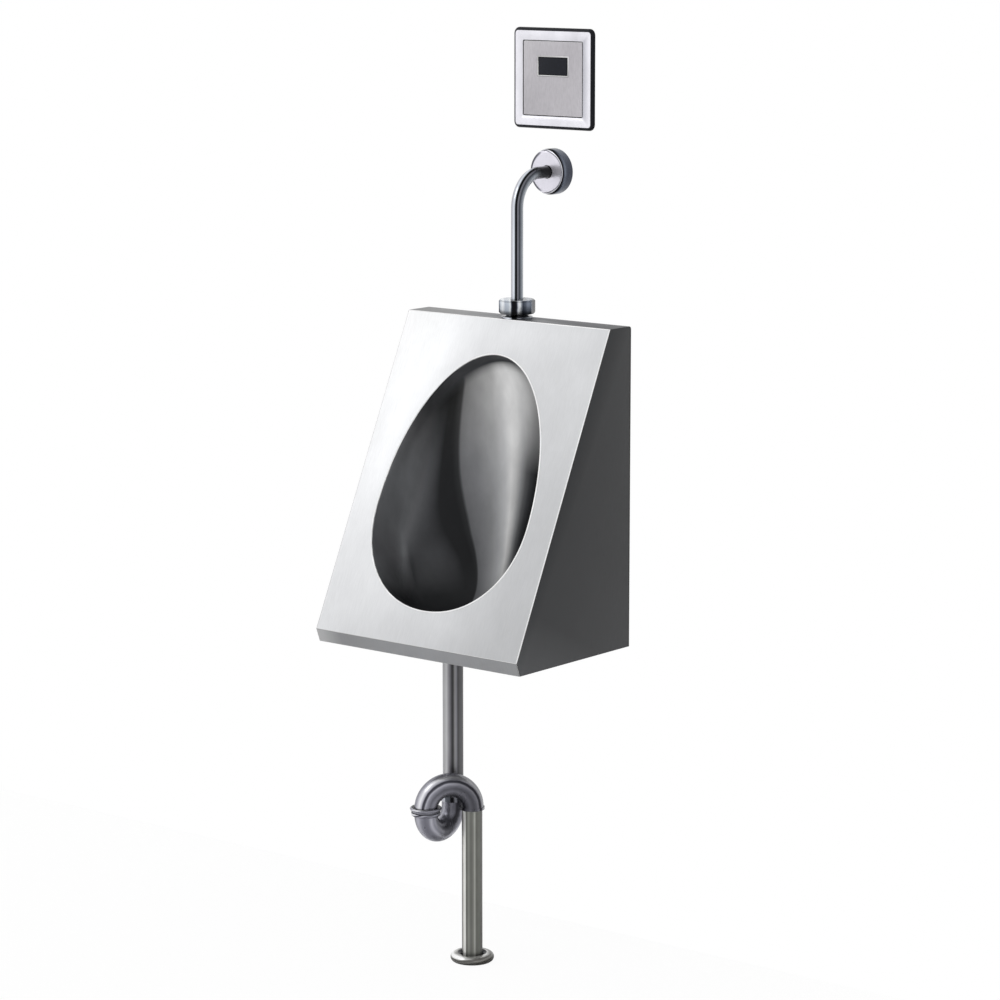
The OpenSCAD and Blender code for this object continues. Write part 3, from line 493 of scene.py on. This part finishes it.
    "battery": plainFinish("cell_sleeve", tint("#5d6136"), 0.3, coat=0.4),
    # wire: a painted highlight where the wire faces square to its x axis, darker at its sides
    "wire": paintedReflectionMetal(
        "wire_steel_painted_highlight", [(0.0, grey("50")), (0.5, grey("d0")), (1.0, grey("60"))], (1, 0, 0)),
}
print("materials made:", len(finishes))


# which finish each node takes
nodeFinish = {
    "cabinet_shell": "side", "front_panel": "front", "bowl_back": "bowl", "bowl_left": "bowl",
    "bowl_right": "bowl", "bowl_front": "bowl", "hook_rail": "bracket", "wall_hanger": "bracket",
    "anchor_nuts": "bracket", "wall_anchors": "bracket", "spacer_brackets": "bracket",
    "bumper_pads": "rubber", "inlet_spud": "chrome", "spud_washer": "rubber", "spud_locknut": "brass",
    "spud_nut": "nut", "spud_seal": "rubber", "spreader_pipe": "tube", "flush_pipe": "bentChrome",
    "wall_flange": "cup", "wall_elbow": "brass", "riser_pipe": "brass", "valve_body": "brass",
    "valve_diaphragm": "rubber", "solenoid_coil": "housing", "solenoid_plunger": "tube",
    "plunger_spring": "wire", "stop_spindle": "brass", "inlet_filter": "tube", "concealed_box": "housing",
    "battery_case": "housing", "batteries": "battery", "sensor_module": "housing",
    "plate_frame": "plateFrame", "plate_face": "plateFace", "sensor_window": "window",
    "window_bezel": "edge", "drain_strainer": "bowl", "waste_body": "bowl", "waste_gasket": "rubber",
    "waste_locknut": "brass", "drain_pipe": "tube", "trap_inlet_nut": "chrome",
    "trap_inlet_washer": "rubber", "trap_bowl": "lowCast", "trap_joint_nut": "cast",
    "trap_joint_washer": "rubber", "trap_arch": "bentCast", "floor_pipe": "floorTube",
    "floor_flange": "donut", "floor_seal": "rubber",
}
nodeBody = {n: b for b, names in frame["record"]["behaviour"]["bodies"].items() for n in names}


def dress(obj, finish, edge=None):
    obj.data.materials.clear()
    obj.data.materials.append(finishes[finish])
    if edge:
        obj.data.materials.append(finishes[edge])


for nodeName, nodeObject in frame["nodes"].items():
    dress(nodeObject, nodeFinish[nodeName])


def addPiece(name, mesh, body, replaced=()):
    piece = bpy.data.objects.new(name, mesh)
    scene.collection.objects.link(piece)
    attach(piece, body)
    if replaced:
        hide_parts(*replaced)
    return piece


def smoothByAngle(mesh, degrees):
    for polygon in mesh.polygons:
        polygon.use_smooth = True
    work = bmesh.new()
    work.from_mesh(mesh)
    for edge in work.edges:
        if len(edge.link_faces) == 2 and edge.calc_face_angle() > math.radians(degrees):
            edge.smooth = False
    work.to_mesh(mesh)
    work.free()


# how the copies of the solids are cleaned and rounded: angles in degrees
cleaning = {"weld": 0.01 * mm, "flat": 0.6, "segments": 3, "roundPast": 35, "smoothUnder": 28}


def refine(nodeName, name, bevel, edge=None, shape=None):
    # a copy of the solid with its flat faces joined and its edges rounded; edge is the finish of the
    # rounded edges, and shape a last change to the mesh
    source = frame["nodes"][nodeName]
    work = bmesh.new()
    work.from_mesh(source.data)
    bmesh.ops.remove_doubles(work, verts=work.verts, dist=cleaning["weld"])
    bmesh.ops.dissolve_limit(work, angle_limit=math.radians(cleaning["flat"]), verts=work.verts,
                             edges=work.edges)
    if shape:
        shape(work)
    mesh = bpy.data.meshes.new(name)
    work.to_mesh(mesh)
    work.free()
    piece = addPiece(name, mesh, nodeBody[nodeName], (nodeName,))
    dress(piece, nodeFinish[nodeName], edge)
    rounding = piece.modifiers.new("rounding", "BEVEL")
    rounding.width = bevel * mm
    rounding.segments = cleaning["segments"]
    rounding.limit_method = "ANGLE"
    rounding.angle_limit = math.radians(cleaning["roundPast"])
    rounding.use_clamp_overlap = True
    if edge:
        rounding.material = 1
    depsgraph = bpy.context.evaluated_depsgraph_get()
    finished = bpy.data.meshes.new_from_object(piece.evaluated_get(depsgraph))
    piece.modifiers.clear()
    piece.data = finished
    smoothByAngle(finished, cleaning["smoothUnder"])


def sweptPiece(nodeName, name, rows, looks, closed=False):
    # faces between neighbouring rows of points, each row closed on itself, with a finish for each
    # step; closed joins the last row to the first
    finishNames = list(dict.fromkeys(looks))
    work = bmesh.new()
    lines = [[work.verts.new(Vector(p)) for p in row] for row in rows]
    steps = len(lines) if closed else len(lines) - 1
    for k in range(steps):
        near, far = lines[k], lines[(k + 1) % len(lines)]
        for i in range(len(near)):
            j = (i + 1) % len(near)
            face = work.faces.new((near[i], near[j], far[j], far[i]))
            face.material_index = finishNames.index(looks[k])
            face.smooth = True
    bmesh.ops.recalc_face_normals(work, faces=work.faces)
    mesh = bpy.data.meshes.new(name)
    work.to_mesh(mesh)
    work.free()
    replaced = (nodeName,) if nodeName else ()
    body = nodeBody[nodeName] if nodeName else "root"
    piece = addPiece(name, mesh, body, replaced)
    for finish in finishNames:
        piece.data.materials.append(finishes[finish])


def turnedRows(centre, axis, profile, around):
    # rows of a turned part: each profile point is a radius and a place along the axis
    rows = []
    for radius, place in profile:
        row = []
        for i in range(around):
            c, s = math.cos(2 * math.pi * i / around), math.sin(2 * math.pi * i / around)
            if axis == "z":
                row.append(Vector((centre[0] + radius * c, centre[1] + radius * s, place)) * mm)
            else:
                row.append(Vector((centre[0] + radius * c, place, centre[1] + radius * s)) * mm)
        rows.append(row)
    return rows


def arc(centre, radius, start, end, steps=6):
    # points on part of a circle, from one angle to the other in degrees
    points = []
    for k in range(steps + 1):
        a = math.radians(start + (end - start) * k / steps)
        points.append((centre[0] + radius * math.cos(a), centre[1] + radius * math.sin(a)))
    return points


def cutAway(work, point, out):
    # removes what lies past a plane and returns the edges of the cut
    everything = list(work.verts) + list(work.edges) + list(work.faces)
    cut = bmesh.ops.bisect_plane(work, geom=everything, plane_co=point, plane_no=out, clear_outer=True)
    return [e for e in cut["geom_cut"] if isinstance(e, bmesh.types.BMEdge)]


# cabinet
cabinet = {"edgeRounding": 1.2, "shellRounding": 0.5, "backRounding": 5, "backCuts": 6,
           "halfWidth": 200, "back": -65, "top": 70}


def roundBack(work):
    # the top edge at the back is folded over a radius, cut here by planes that touch its arc
    r = cabinet["backRounding"] * mm
    centre = Vector((0, cabinet["back"] * mm - r, cabinet["top"] * mm - r))
    for k in range(cabinet["backCuts"]):
        turn = math.radians(90 * (k + 1) / (cabinet["backCuts"] + 1))
        out = Vector((0, math.cos(turn), math.sin(turn)))
        bmesh.ops.edgenet_fill(work, edges=cutAway(work, centre + out * r, out))


# the front's rounded edges take the painted highlight of the edge finish
refine("front_panel", "front_sheet", cabinet["edgeRounding"], edge="edge")
refine("cabinet_shell", "shell_sheet", cabinet["shellRounding"], shape=roundBack)
print("cabinet made")

# bowl: the egg opening in the sloping front, lofted to the round drain seat, in the cabinet's
# millimetres with the underside at 0
bowlNodes = ("bowl_back", "bowl_left", "bowl_right", "bowl_front")
bowlShape = {
    "standoff": 65, "topDepth": 54, "rimDepth": 280, "height": 500, "lip": 21, "sheet": 1.5,
    "halfWidth": 150, "middle": 210, "up": 261, "down": 154, "fullness": 2.1,
    "collar": 18, "flange": 10, "backGap": 36, "seatHeight": 46, "seatRadius": 32, "drainDepth": 187,
    "backShare": 0.78, "sideShare": 0.62, "frontShare": 0.05, "sumpShare": 0.5, "topRun": 1.25,
    "around": 144, "steps": 44, "rimRadius": 2.2, "rimSteps": 6, "rimGap": 0.02, "seatSteps": (3, 12),
}
slopeRun = bowlShape["rimDepth"] - bowlShape["topDepth"]
slopeRise = bowlShape["height"] - bowlShape["lip"]
slopeAngle = math.atan2(slopeRun, slopeRise)
slopeLength = math.hypot(slopeRun, slopeRise)
drainY = -bowlShape["standoff"] - bowlShape["drainDepth"]


def signedPower(value, power):
    return math.copysign(abs(value) ** power, value)


def eggPoint(angle, grow=0.0):
    b = bowlShape
    upper = math.sin(angle) >= 0
    power = 1 if upper else 2 / b["fullness"]
    reach = (b["up"] if upper else b["down"]) + grow
    return (
        (b["halfWidth"] + grow) * signedPower(math.cos(angle), power),
        b["middle"] + reach * signedPower(math.sin(angle), power),
    )


def onSlope(point, out):
    # a place on the sloping front, in the millimetres of the cabinet
    b = bowlShape
    rimY = -b["standoff"] - b["rimDepth"]
    return Vector((
        point[0],
        rimY + point[1] * math.sin(slopeAngle) - out * math.cos(slopeAngle),
        b["lip"] + point[1] * math.cos(slopeAngle) + out * math.sin(slopeAngle),
    ))


def placed(point):
    # cabinet millimetres to the frame's metres
    return Vector((point[0] * mm, point[1] * mm, point[2] * mm - hangHeight))


def bowlPath(angle):
    # points from the opening's collar down to the drain seat, on the side that the angle gives
    b = bowlShape
    s, c = math.sin(angle), math.cos(angle)
    backY = -b["standoff"] - b["backGap"]
    start = onSlope(eggPoint(angle), -b["collar"])
    if s >= 0:
        share = b["sideShare"] + (b["topRun"] - b["sideShare"]) * s
    else:
        share = b["sideShare"] + (b["sideShare"] - b["frontShare"]) * s
    run = (backY - start.y) * share
    drop = run * math.tan(slopeAngle) * (1 - b["backShare"] * s if s > 0 else 1)
    second = start + Vector((0, run, -drop))
    end = Vector((b["seatRadius"] * c, drainY + b["seatRadius"] * s, b["seatHeight"]))
    reach = (backY - drainY if s > 0 else b["seatRadius"] * b["frontShare"] * 4) * s
    third = end + Vector((
        b["sumpShare"] * (start.x - end.x), reach, b["seatRadius"] / 4 * (1 + max(s, 0))))
    points = []
    for k in range(b["steps"] + 1):
        t = k / b["steps"]
        points.append(start * (1 - t) ** 3 + second * 3 * (1 - t) ** 2 * t
                      + third * 3 * (1 - t) * t * t + end * t ** 3)
    return points


def makeBowl():
    b = bowlShape
    behind = -b["sheet"] - b["rimGap"]
    work = bmesh.new()
    columns = []
    for i in range(b["around"]):
        angle = 2 * math.pi * i / b["around"]
        line = [onSlope(eggPoint(angle, b["flange"]), behind)]
        for k in range(b["rimSteps"] + 1):
            turn = math.pi / 2 * k / b["rimSteps"]
            grow = b["rimRadius"] * (1 - math.sin(turn))
            deep = b["rimRadius"] * (1 - math.cos(turn))
            line.append(onSlope(eggPoint(angle, grow), behind - deep))
        line += bowlPath(angle)
        for inward in b["seatSteps"]:
            radius = b["seatRadius"] - inward
            across = Vector((math.cos(angle), math.sin(angle), 0)) * radius
            line.append(Vector((0, drainY, b["seatHeight"])) + across)
        columns.append([work.verts.new(placed(p)) for p in line])
    for i, column in enumerate(columns):
        following = columns[(i + 1) % len(columns)]
        for j in range(len(column) - 1):
            face = work.faces.new((column[j], column[j + 1], following[j + 1], following[j]))
            # the first faces, at the rim, take painted shade
            face.material_index = 1 if j <= b["rimSteps"] else 0
    work.normal_update()
    backFace = max(work.faces, key=lambda face: face.calc_center_median().y)
    if backFace.normal.y > 0:
        bmesh.ops.reverse_faces(work, faces=work.faces)
    mesh = bpy.data.meshes.new("bowl_pressing")
    work.to_mesh(mesh)
    work.free()
    for polygon in mesh.polygons:
        polygon.use_smooth = True
    piece = addPiece("bowl_pressing", mesh, "root", bowlNodes)
    dress(piece, "bowl", "darkEdge")


makeBowl()

# a thin bead with a painted highlight runs round the opening
openingBead = {"radius": 1.15, "outside": 0.9, "sides": 10, "around": 180}


def beadRow(turn):
    # one line of the bead's surface, all the way round the egg
    grow = openingBead["outside"] + openingBead["radius"] * math.cos(turn)
    out = openingBead["radius"] * math.sin(turn)
    angles = [2 * math.pi * i / openingBead["around"] for i in range(openingBead["around"])]
    return [placed(onSlope(eggPoint(angle, grow), out)) for angle in angles]


beadRows = [beadRow(2 * math.pi * k / openingBead["sides"]) for k in range(openingBead["sides"])]
sweptPiece(None, "opening_bead", beadRows, ["bead"] * openingBead["sides"], closed=True)

# thin rods with a painted highlight along the top and the right of the front stand for the light on the
# sheet's folded edges
fold = {"radius": 1.0, "inset": 0.9, "sides": 10, "corner": 2.0}


def foldLine(name, start, end):
    # a thin rod with a painted highlight along a fold, from one place on the front to another
    ends = [placed(onSlope(point, -fold["inset"])) for point in (start, end)]
    turn = (ends[1] - ends[0]).to_track_quat("Z", "Y")
    angles = [2 * math.pi * k / fold["sides"] for k in range(fold["sides"])]
    circle = [turn @ Vector((math.cos(a), math.sin(a), 0)) * fold["radius"] * mm for a in angles]
    sweptPiece(None, name, [[middle + offset for offset in circle] for middle in ends], ["bead"])


sideX = cabinet["halfWidth"] - fold["radius"]
topUp = slopeLength - fold["inset"]
foldLine("top_fold", (-sideX + fold["corner"], topUp), (sideX - fold["corner"], topUp))
foldLine("right_fold", (sideX, fold["corner"]), (sideX, topUp - fold["corner"]))
print("bowl made")

# small parts, and how many millimetres their edges are rounded by
rounded = {
    "inlet_spud": 0.6, "plate_face": 0.25, "window_bezel": 0.3, "trap_inlet_nut": 0.8,
    "trap_arch": 0.6, "wall_hanger": 0.6, "spacer_brackets": 0.5,
    "concealed_box": 1.0, "hook_rail": 0.4, "drain_strainer": 0.3, "waste_locknut": 0.5,
    "bumper_pads": 1.0, "valve_body": 0.5, "battery_case": 0.4, "sensor_module": 0.5,
}
for nodeName, width in rounded.items():
    refine(nodeName, nodeName + "_finished", width)
# these two have a finish of their own on the rounded edges: a painted highlight on the nut, a black border
# on the window
edged = {"spud_nut": (1.5, "edge"), "sensor_window": (2.0, "windowBorder")}
for nodeName, (width, edge) in edged.items():
    refine(nodeName, nodeName + "_finished", width, edge=edge)
print("small parts rounded:", len(rounded) + len(edged))

# spray pipe
nozzle = {"rounding": 0.2, "end": -115}


def cutNozzle(work):
    # the nozzle stops just behind the bowl's surface
    cutAway(work, (0, nozzle["end"] * mm, 0), (0, -1, 0))


refine("spreader_pipe", "spreader_pipe_finished", nozzle["rounding"], shape=cutNozzle)

# flush plate: a flat frame whose round edge, dark with painted shade, stands past the solid all the way
# round; the groove at the hole takes painted shade too
plate = {"halfWidth": 74, "halfHeight": 73.5, "middle": 436, "front": -6, "edge": 5, "corner": 5,
         "wallGap": 0.2, "holeWidth": 58, "holeHeight": 57.5, "holeCorner": 1.2, "holeDepth": 2.5,
         "groove": 1.4, "cornerSteps": 6}


def plateRow(halfWidth, halfHeight, corner, y):
    # a rectangle with round corners, at one depth
    row = []
    for q, (sx, sz) in enumerate(((1, 1), (-1, 1), (-1, -1), (1, -1))):
        for k in range(plate["cornerSteps"] + 1):
            a = math.radians(90 * q + 90 * k / plate["cornerSteps"])
            x = sx * (halfWidth - corner) + corner * math.cos(a)
            z = sz * (halfHeight - corner) + corner * math.sin(a)
            row.append(Vector((x, y, plate["middle"] + z)) * mm)
    return row


front, edgeMiddle = plate["front"], plate["front"] + plate["edge"]
outside = [(plate["edge"], -plate["wallGap"])]
outside += [(grow, edgeMiddle - up) for grow, up in arc((0, 0), plate["edge"], 0, 90)]
inside = [(plate["groove"], front), (0, front + plate["groove"]), (0, front + plate["holeDepth"])]
plateRows = []
for grow, y in outside:
    plateRows.append(
        plateRow(plate["halfWidth"] + grow, plate["halfHeight"] + grow, plate["corner"] + grow, y))
for grow, y in inside:
    plateRows.append(
        plateRow(plate["holeWidth"] + grow, plate["holeHeight"] + grow, plate["holeCorner"] + grow, y))
plateLooks = ["darkEdge"] * (len(outside) - 1) + ["plateFrame"] + ["darkEdge"] * (len(inside) - 1)
sweptPiece("plate_frame", "plate_frame_finished", plateRows, plateLooks)
print("plate made")

# turned parts: their outlines list a radius and a place along the axis for each point
wallCup = {"centre": (0, 292), "radius": 36, "front": -20, "back": -0.2, "round": 7, "hole": 9.8,
           "holeBevel": 0.6, "holeDepth": 4, "support": (0.3, 0.4), "around": 96}
cupMiddle = wallCup["radius"] - wallCup["round"]
cupHole, cupFront, cupBevel = wallCup["hole"], wallCup["front"], wallCup["holeBevel"]
cupProfile = [(wallCup["radius"], wallCup["back"])]
cupProfile += arc((cupMiddle, cupFront + wallCup["round"]), wallCup["round"], 0, -90)
# two rings close to the edges of the disc keep its shading flat
cupProfile += [(cupMiddle - wallCup["support"][0], cupFront),
               (cupHole + cupBevel + wallCup["support"][1], cupFront), (cupHole + cupBevel, cupFront),
               (cupHole, cupFront + cupBevel), (cupHole, cupFront + wallCup["holeDepth"])]
sweptPiece("wall_flange", "wall_cup", turnedRows(wallCup["centre"], "y", cupProfile, wallCup["around"]),
           ["cup"] * (len(cupProfile) - 1))

floorRose = {
    "centre": (43, -258), "radius": 34, "rim": 6.5, "rimArc": (-60, 95, 12), "floor": -920, "around": 80,
    # radius and height of the groove round the pipe, which takes painted shade
    "groove": ((22.6, 13.5), (18.6, 12), (16.4, 9), (16.4, 0.5)),
}
roseMiddle = (floorRose["radius"] - floorRose["rim"], floorRose["floor"] + floorRose["rim"])
roseProfile = [(roseMiddle[0], floorRose["floor"])]
roseProfile += arc(roseMiddle, floorRose["rim"], *floorRose["rimArc"])
roseLooks = ["donut"] * len(roseProfile) + ["darkEdge"] * (len(floorRose["groove"]) - 1)
roseProfile += [(radius, floorRose["floor"] + height) for radius, height in floorRose["groove"]]
sweptPiece("floor_flange", "floor_rose",
           turnedRows(floorRose["centre"], "z", roseProfile, floorRose["around"]), roseLooks)

jointRing = {
    "centre": (0, -318), "low": -681, "high": -668, "hole": 18.2, "around": 80,
    # radius and height of the band below the lip, which ends in a groove dark with painted shade
    "band": ((18.2, 0), (21.1, 0), (22.3, 1.2), (22.7, 5), (21.7, 6.2), (22.9, 7.6)),
    "lip": 22.6, "lipRound": 2.2, "lipArc": (-40, 90),
}
ringProfile = [(radius, jointRing["low"] + height) for radius, height in jointRing["band"]]
ringProfile += arc((jointRing["lip"], jointRing["high"] - jointRing["lipRound"]), jointRing["lipRound"],
                   *jointRing["lipArc"])
ringProfile += [(jointRing["hole"], jointRing["high"])]
# the groove and the top face inside the lip take painted shade
ringLooks = ["cast"] * 3 + ["darkEdge"] + ["cast"] * (len(ringProfile) - 6) + ["darkEdge"]
sweptPiece("trap_joint_nut", "trap_joint_ring",
           turnedRows(jointRing["centre"], "z", ringProfile, jointRing["around"]), ringLooks)
print("turned parts made")

# studio
studio = {
    "floor": -0.920, "wall": 0.0004, "wallTop": 3, "reach": 4.0, "worldLevel": 1.0,
    "floorGrey": 0.9, "floorShare": 0.95, "wallGrey": 0.85, "wallShare": 1.0, "lookAt": (0, -0.2, -0.1),
    "lamps": (("key_light", (-1.6, -2.4, 2.2), 1.6, 10), ("fill_light", (2.4, -1.8, 0.6), 1.8, 3)),
    "floorRays": ("Is Camera Ray",),
    "wallRays": ("Is Camera Ray", "Is Glossy Ray", "Is Transmission Ray"),
}


def addPlane(name, corners, material):
    mesh = bpy.data.meshes.new(name)
    mesh.from_pydata([Vector(c) for c in corners], [], [(0, 1, 2, 3)])
    plane = bpy.data.objects.new(name, mesh)
    plane.data.materials.append(material)
    scene.collection.objects.link(plane)
    return plane


def seenAs(tree, names):
    # 1 for the named kinds of ray
    path = addNode(tree, "ShaderNodeLightPath")
    total = path.outputs[names[0]]
    for name in names[1:]:
        total = mathNode(tree, "MAXIMUM", total, path.outputs[name])
    return total


def mixShaders(tree, share, a, b):
    mix = addNode(tree, "ShaderNodeMixShader")
    for socket, value in zip(mix.inputs, (share, a, b)):
        join(tree, value, socket)
    return mix.outputs[0]


def paleMaterial(name, level, rays, share, clearBack=False):
    # a pale surface that the named kinds of ray see as plain white, by the given share; with
    # clearBack the eye looks through it from behind, at the parts in the wall
    mat, tree, shader = newMaterial(name)
    shader.inputs["Base Color"].default_value = (level, level, level, 1)
    shader.inputs["Roughness"].default_value = 0.9
    glow = addNode(tree, "ShaderNodeEmission")
    glow.inputs["Color"].default_value = (1, 1, 1, 1)
    white = mathNode(tree, "MULTIPLY", seenAs(tree, rays), share)
    result = mixShaders(tree, white, shader.outputs[0], glow.outputs[0])
    if clearBack:
        behind = addNode(tree, "ShaderNodeNewGeometry").outputs["Backfacing"]
        result = mixShaders(tree, behind, result, addNode(tree, "ShaderNodeBsdfTransparent").outputs[0])
    join(tree, result, tree.nodes["Material Output"].inputs[0])
    return mat


def addStudio(setup):
    r, f, w, top = setup["reach"], setup["floor"], setup["wall"], setup["wallTop"]
    addPlane("studio_floor", [(-r, -r, f), (r, -r, f), (r, r, f), (-r, r, f)],
             paleMaterial("pale_floor", setup["floorGrey"], setup["floorRays"], setup["floorShare"]))
    addPlane("studio_wall", [(-r, w, f), (r, w, f), (r, w, top), (-r, w, top)],
             paleMaterial("pale_wall", setup["wallGrey"], setup["wallRays"], setup["wallShare"],
                          clearBack=True))
    world = bpy.data.worlds.new("studio_world")
    world.use_nodes = True
    scene.world = world
    tree = world.node_tree
    background = tree.nodes["Background"]
    background.inputs["Strength"].default_value = setup["worldLevel"]
    background.inputs["Color"].default_value = (1, 1, 1, 1)
    for name, place, size, power in setup["lamps"]:
        lampData = bpy.data.lights.new(name, "AREA")
        lampData.size = size
        lampData.energy = power
        lamp = bpy.data.objects.new(name, lampData)
        lamp.location = place
        aim = Vector(setup["lookAt"]) - Vector(place)
        lamp.rotation_euler = aim.to_track_quat("-Z", "Y").to_euler()
        scene.collection.objects.link(lamp)


addStudio(studio)
scene.view_settings.view_transform = "Standard"
print("studio set")

bpy.context.view_layer.update()
